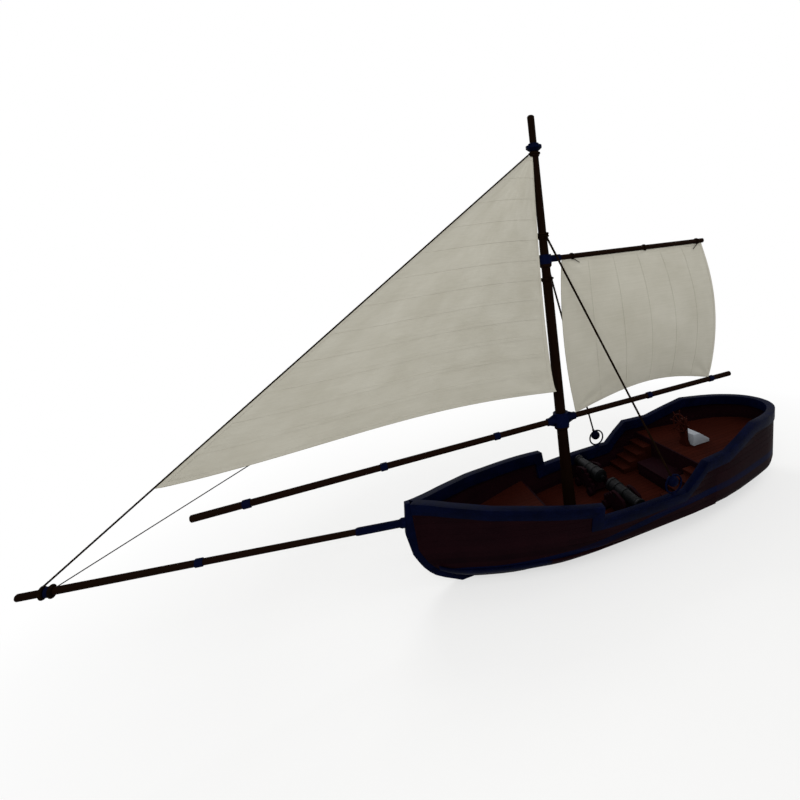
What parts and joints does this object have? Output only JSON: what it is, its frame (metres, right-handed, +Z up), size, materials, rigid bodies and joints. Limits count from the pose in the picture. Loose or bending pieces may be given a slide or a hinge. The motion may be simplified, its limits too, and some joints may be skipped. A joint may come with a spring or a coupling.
{
  "type": "sloop",
  "caption": "Small decked sailing sloop with a gaff mainsail, a jib on a long bowsprit, a stepped gunwale, deck guns and a steering wheel.",
  "frame": {"origin": "mast axis at the waterline", "axes": "+X forward to the bow, +Y to port, +Z up"},
  "size_m": [14.8118, 3.1124, 9.4871],
  "materials": {
    "navy_paint": "satin paint",
    "deck_wood": "worn oil",
    "spar_wood": "oiled",
    "sailcloth": "woven",
    "rope": "tarred",
    "gun_iron": "blackened",
    "grey_paint": "satin paint",
    "hull_wood": "stained planks"
  },
  "bodies": {
    "hull": {"hull": "hull_wood", "stem": "navy_paint", "keel": "navy_paint", "sternpost": "navy_paint", "bulwark_port": "hull_wood", "bulwark_starboard": "hull_wood", "gunwale_port": "navy_paint", "gunwale_starboard": "navy_paint", "wale_port": "navy_paint", "wale_starboard": "navy_paint", "foredeck": "deck_wood", "main_deck": "deck_wood", "quarterdeck": "deck_wood", "fore_bulkhead": "hull_wood", "aft_bulkhead": "hull_wood", "stairs_port": "deck_wood", "stairs_starboard": "deck_wood", "hatch_coaming": "hull_wood", "mast": "spar_wood", "mast_partner": "navy_paint", "masthead_collar": "navy_paint", "bowsprit": "spar_wood", "bowsprit_sleeve": "navy_paint", "stay_collar": "navy_paint", "forestay": "rope", "inner_stay": "rope", "shroud_port": "rope", "shroud_starboard": "rope", "heart_port": "navy_paint", "heart_starboard": "navy_paint", "jib": "sailcloth", "carriage_port": "hull_wood", "carriage_starboard": "hull_wood", "wheel_post": "deck_wood", "steering_box": "grey_paint"},
    "main_rig": {"boom_collar": "navy_paint", "fore_boom": "spar_wood", "boom": "spar_wood", "boom_bands": "navy_paint", "gaff_collar": "navy_paint", "gaff": "spar_wood", "mainsail": "sailcloth"},
    "hatch_lid": {"hatch_lid": "hull_wood"},
    "barrel_port": {"barrel_port": "gun_iron"},
    "barrel_starboard": {"barrel_starboard": "gun_iron"},
    "fore_trucks_port": {"fore_trucks_port": "hull_wood"},
    "aft_trucks_port": {"aft_trucks_port": "hull_wood"},
    "fore_trucks_starboard": {"fore_trucks_starboard": "hull_wood"},
    "aft_trucks_starboard": {"aft_trucks_starboard": "hull_wood"},
    "rudder": {"rudder": "hull_wood"},
    "wheel": {"wheel": "deck_wood"}
  },
  "joints": [
    {"name": "main_rig_swing", "type": "hinge", "parent": "hull", "child": "main_rig", "pos_m": [0, 0, 2.83], "axis": [0, 0, 1], "range_deg": [-30, 30]},
    {"name": "hatch_lid_hinge", "type": "hinge", "parent": "hull", "child": "hatch_lid", "pos_m": [-2.798, 0, 0.9173], "axis": [0, -1, 0], "range_deg": [0, 88]},
    {"name": "barrel_port_elevation", "type": "hinge", "parent": "hull", "child": "barrel_port", "pos_m": [-0.99, 0.65234, 1.074], "axis": [1, 0, 0], "range_deg": [-8, 0]},
    {"name": "barrel_starboard_elevation", "type": "hinge", "parent": "hull", "child": "barrel_starboard", "pos_m": [-0.99, -0.65234, 1.074], "axis": [-1, 0, 0], "range_deg": [-8, 0]},
    {"name": "fore_trucks_port_roll", "type": "hinge", "parent": "hull", "child": "fore_trucks_port", "pos_m": [-0.99, 0.88234, 0.7073], "axis": [1, 0, 0], "continuous": true},
    {"name": "aft_trucks_port_roll", "type": "hinge", "parent": "hull", "child": "aft_trucks_port", "pos_m": [-0.99, 0.32234, 0.7073], "axis": [1, 0, 0], "continuous": true},
    {"name": "fore_trucks_starboard_roll", "type": "hinge", "parent": "hull", "child": "fore_trucks_starboard", "pos_m": [-0.99, -0.88234, 0.7073], "axis": [1, 0, 0], "continuous": true},
    {"name": "aft_trucks_starboard_roll", "type": "hinge", "parent": "hull", "child": "aft_trucks_starboard", "pos_m": [-0.99, -0.32234, 0.7073], "axis": [1, 0, 0], "continuous": true},
    {"name": "rudder_turn", "type": "hinge", "parent": "hull", "child": "rudder", "pos_m": [-5.18348, 0, -0.61665], "axis": [-0.3888, 0, 0.9213], "range_deg": [-35, 35]},
    {"name": "wheel_turn", "type": "hinge", "parent": "hull", "child": "wheel", "pos_m": [-3.19, 0, 1.908], "axis": [1, 0, 0], "range_deg": [-361, 361]}
  ],
  "couplings": [
    {"joint": "wheel_turn", "follows": "rudder_turn", "ratio": 10.286}
  ]
}
